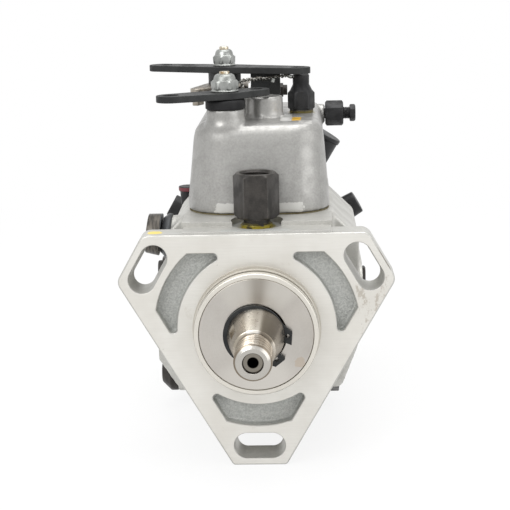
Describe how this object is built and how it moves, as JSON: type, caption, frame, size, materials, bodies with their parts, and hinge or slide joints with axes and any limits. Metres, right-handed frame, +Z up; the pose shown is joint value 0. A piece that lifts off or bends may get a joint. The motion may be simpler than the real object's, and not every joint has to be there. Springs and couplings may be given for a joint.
{
  "type": "diesel injection pump",
  "caption": "Rotary distributor injection pump with a triangular flange, taper drive shaft, mechanical governor, throttle and stop levers, and capped unions.",
  "frame": {"origin": "centre of the mounting flange's face, on the drive shaft's axis", "axes": "-Y towards the drive end of the shaft, +Z up towards the governor cover and the levers, +X to the right when the drive end is looked at"},
  "size_m": [0.12, 0.2273, 0.1811],
  "materials": {
    "bare_aluminium": "bead-blasted casting with milled faces",
    "grey_aluminium": "die-cast, dull grey",
    "bright_steel": "turned and ground",
    "black_oxide": "black oxide",
    "satin_black": "satin black",
    "zinc": "bluish zinc plate",
    "yellow_zinc": "yellow passivated zinc",
    "spring_steel": "drawn wire",
    "bronze": "bored bronze",
    "rubber": "matte",
    "cap_plastic": "moulded, matte",
    "gasket": "pressed fibre"
  },
  "bodies": {
    "pump_body": {"pump_housing": "bare_aluminium", "retaining_plate": "bright_steel", "rubber_seals": "rubber", "shaft_bush": "bronze", "control_bracket": "zinc", "governor_spring": "spring_steel", "hydraulic_head": "bright_steel", "body_screws": "black_oxide", "outlet_unions": "black_oxide", "transport_caps": "cap_plastic", "transfer_liner": "bright_steel", "end_plate": "grey_aluminium", "regulating_sleeve": "bright_steel", "inlet_union": "black_oxide", "inlet_cap": "cap_plastic", "advance_housing": "grey_aluminium", "advance_spring": "spring_steel", "advance_plugs": "black_oxide", "inspection_cover": "grey_aluminium", "governor_cover": "grey_aluminium", "cover_gasket": "gasket", "cover_nuts": "black_oxide", "bleed_adapter": "black_oxide", "dust_caps": "rubber", "adjusting_screws": "black_oxide", "lock_wire": "spring_steel", "return_fitting": "black_oxide", "leak_union": "black_oxide"},
    "rotor": {"drive_shaft": "bright_steel", "circlip": "black_oxide", "governor_cage": "bright_steel", "drive_plate": "bright_steel", "distributor_rotor": "bright_steel", "transfer_rotor": "bright_steel", "transfer_blades": "black_oxide"},
    "weight_1": {"governor_weight_1": "bright_steel"},
    "weight_2": {"governor_weight_2": "bright_steel"},
    "weight_3": {"governor_weight_3": "bright_steel"},
    "weight_4": {"governor_weight_4": "bright_steel"},
    "sleeve": {"thrust_sleeve": "bright_steel"},
    "arm": {"governor_arm": "zinc"},
    "link": {"link_rod": "spring_steel"},
    "metering": {"metering_valve": "bright_steel"},
    "cam": {"cam_ring": "bright_steel", "cam_screw": "black_oxide"},
    "advance": {"advance_piston": "bright_steel"},
    "pumping_a": {"plunger_a": "bright_steel", "shoe_a": "black_oxide"},
    "pumping_b": {"plunger_b": "bright_steel", "shoe_b": "black_oxide"},
    "roller_1": {"roller_a": "bright_steel"},
    "roller_2": {"roller_b": "bright_steel"},
    "regulator": {"regulating_piston": "bright_steel"},
    "bleed": {"bleed_screw": "black_oxide"},
    "stop": {"stop_spindle": "yellow_zinc", "stop_lever": "satin_black", "stop_nut": "zinc"},
    "throttle": {"throttle_spindle": "yellow_zinc", "throttle_lever": "satin_black", "throttle_nut": "zinc"}
  },
  "joints": [
    {"name": "drive_spin", "type": "hinge", "parent": "pump_body", "child": "rotor", "pos_m": [0, 0, 0], "axis": [0, 1, 0], "continuous": true},
    {"name": "weight_1_swing", "type": "hinge", "parent": "rotor", "child": "weight_1", "pos_m": [0.028, 0.0313, 0], "axis": [0, 0, -1], "range_deg": [0, 12]},
    {"name": "weight_2_swing", "type": "hinge", "parent": "rotor", "child": "weight_2", "pos_m": [0, 0.0313, 0.028], "axis": [1, 0, 0], "range_deg": [0, 12]},
    {"name": "weight_3_swing", "type": "hinge", "parent": "rotor", "child": "weight_3", "pos_m": [-0.028, 0.0313, 0], "axis": [0, 0, 1], "range_deg": [0, 12]},
    {"name": "weight_4_swing", "type": "hinge", "parent": "rotor", "child": "weight_4", "pos_m": [0, 0.0313, -0.028], "axis": [-1, 0, 0], "range_deg": [0, 12]},
    {"name": "sleeve_slide", "type": "slide", "parent": "rotor", "child": "sleeve", "axis": [0, 1, 0], "range_m": [0, 0.0026]},
    {"name": "arm_tilt", "type": "hinge", "parent": "pump_body", "child": "arm", "pos_m": [0, 0.0642, 0.05], "axis": [1, 0, 0], "range_deg": [0, 3.1]},
    {"name": "link_slide", "type": "slide", "parent": "pump_body", "child": "link", "axis": [0, -1, 0], "range_m": [0, 0.0009]},
    {"name": "metering_turn", "type": "hinge", "parent": "pump_body", "child": "metering", "pos_m": [0.002, 0.108, 0.04], "axis": [0, 0, -1], "range_deg": [0, 6.2]},
    {"name": "advance_slide", "type": "slide", "parent": "pump_body", "child": "advance", "axis": [-1, 0, 0], "range_m": [0, 0.0048], "stiffness_N_per_m": 4000},
    {"name": "cam_turn", "type": "hinge", "parent": "pump_body", "child": "cam", "pos_m": [0, 0.086, 0], "axis": [0, 1, 0], "range_deg": [0, 6]},
    {"name": "plunger_a_slide", "type": "slide", "parent": "rotor", "child": "pumping_a", "axis": [0, 0, 1], "range_m": [0, 0.0017]},
    {"name": "plunger_b_slide", "type": "slide", "parent": "rotor", "child": "pumping_b", "axis": [0, 0, -1], "range_m": [0, 0.0017]},
    {"name": "roller_a_spin", "type": "hinge", "parent": "pumping_a", "child": "roller_1", "pos_m": [0, 0.086, 0.0232], "axis": [0, 1, 0], "continuous": true},
    {"name": "roller_b_spin", "type": "hinge", "parent": "pumping_b", "child": "roller_2", "pos_m": [0, 0.086, -0.0232], "axis": [0, 1, 0], "continuous": true},
    {"name": "regulator_slide", "type": "slide", "parent": "pump_body", "child": "regulator", "axis": [0.515, 0, 0.8572], "range_m": [0, 0.006], "stiffness_N_per_m": 300},
    {"name": "bleed_turn", "type": "hinge", "parent": "pump_body", "child": "bleed", "pos_m": [0.045, 0.113, 0.08], "axis": [1, 0, 0], "range_deg": [0, 360]},
    {"name": "stop_turn", "type": "hinge", "parent": "pump_body", "child": "stop", "pos_m": [-0.0134, 0.042, 0.0959], "axis": [0, 0, 1], "range_deg": [-30, 0], "stiffness_Nm_per_rad": 0.2},
    {"name": "throttle_turn", "type": "hinge", "parent": "pump_body", "child": "throttle", "pos_m": [-0.0158, 0.085, 0.1041], "axis": [0, 0, 1], "range_deg": [0, 24], "stiffness_Nm_per_rad": 0.3}
  ],
  "couplings": [
    {"joint": "weight_2_swing", "follows": "weight_1_swing", "ratio": 1},
    {"joint": "weight_3_swing", "follows": "weight_1_swing", "ratio": 1},
    {"joint": "weight_4_swing", "follows": "weight_1_swing", "ratio": 1},
    {"joint": "sleeve_slide", "follows": "weight_1_swing", "m_per_rad": 0.012},
    {"joint": "arm_tilt", "follows": "weight_1_swing", "ratio": 0.25},
    {"joint": "link_slide", "follows": "weight_1_swing", "m_per_rad": 0.004},
    {"joint": "metering_turn", "follows": "weight_1_swing", "ratio": 0.5},
    {"joint": "cam_turn", "follows": "advance_slide", "rad_per_m": 21.645}
  ]
}
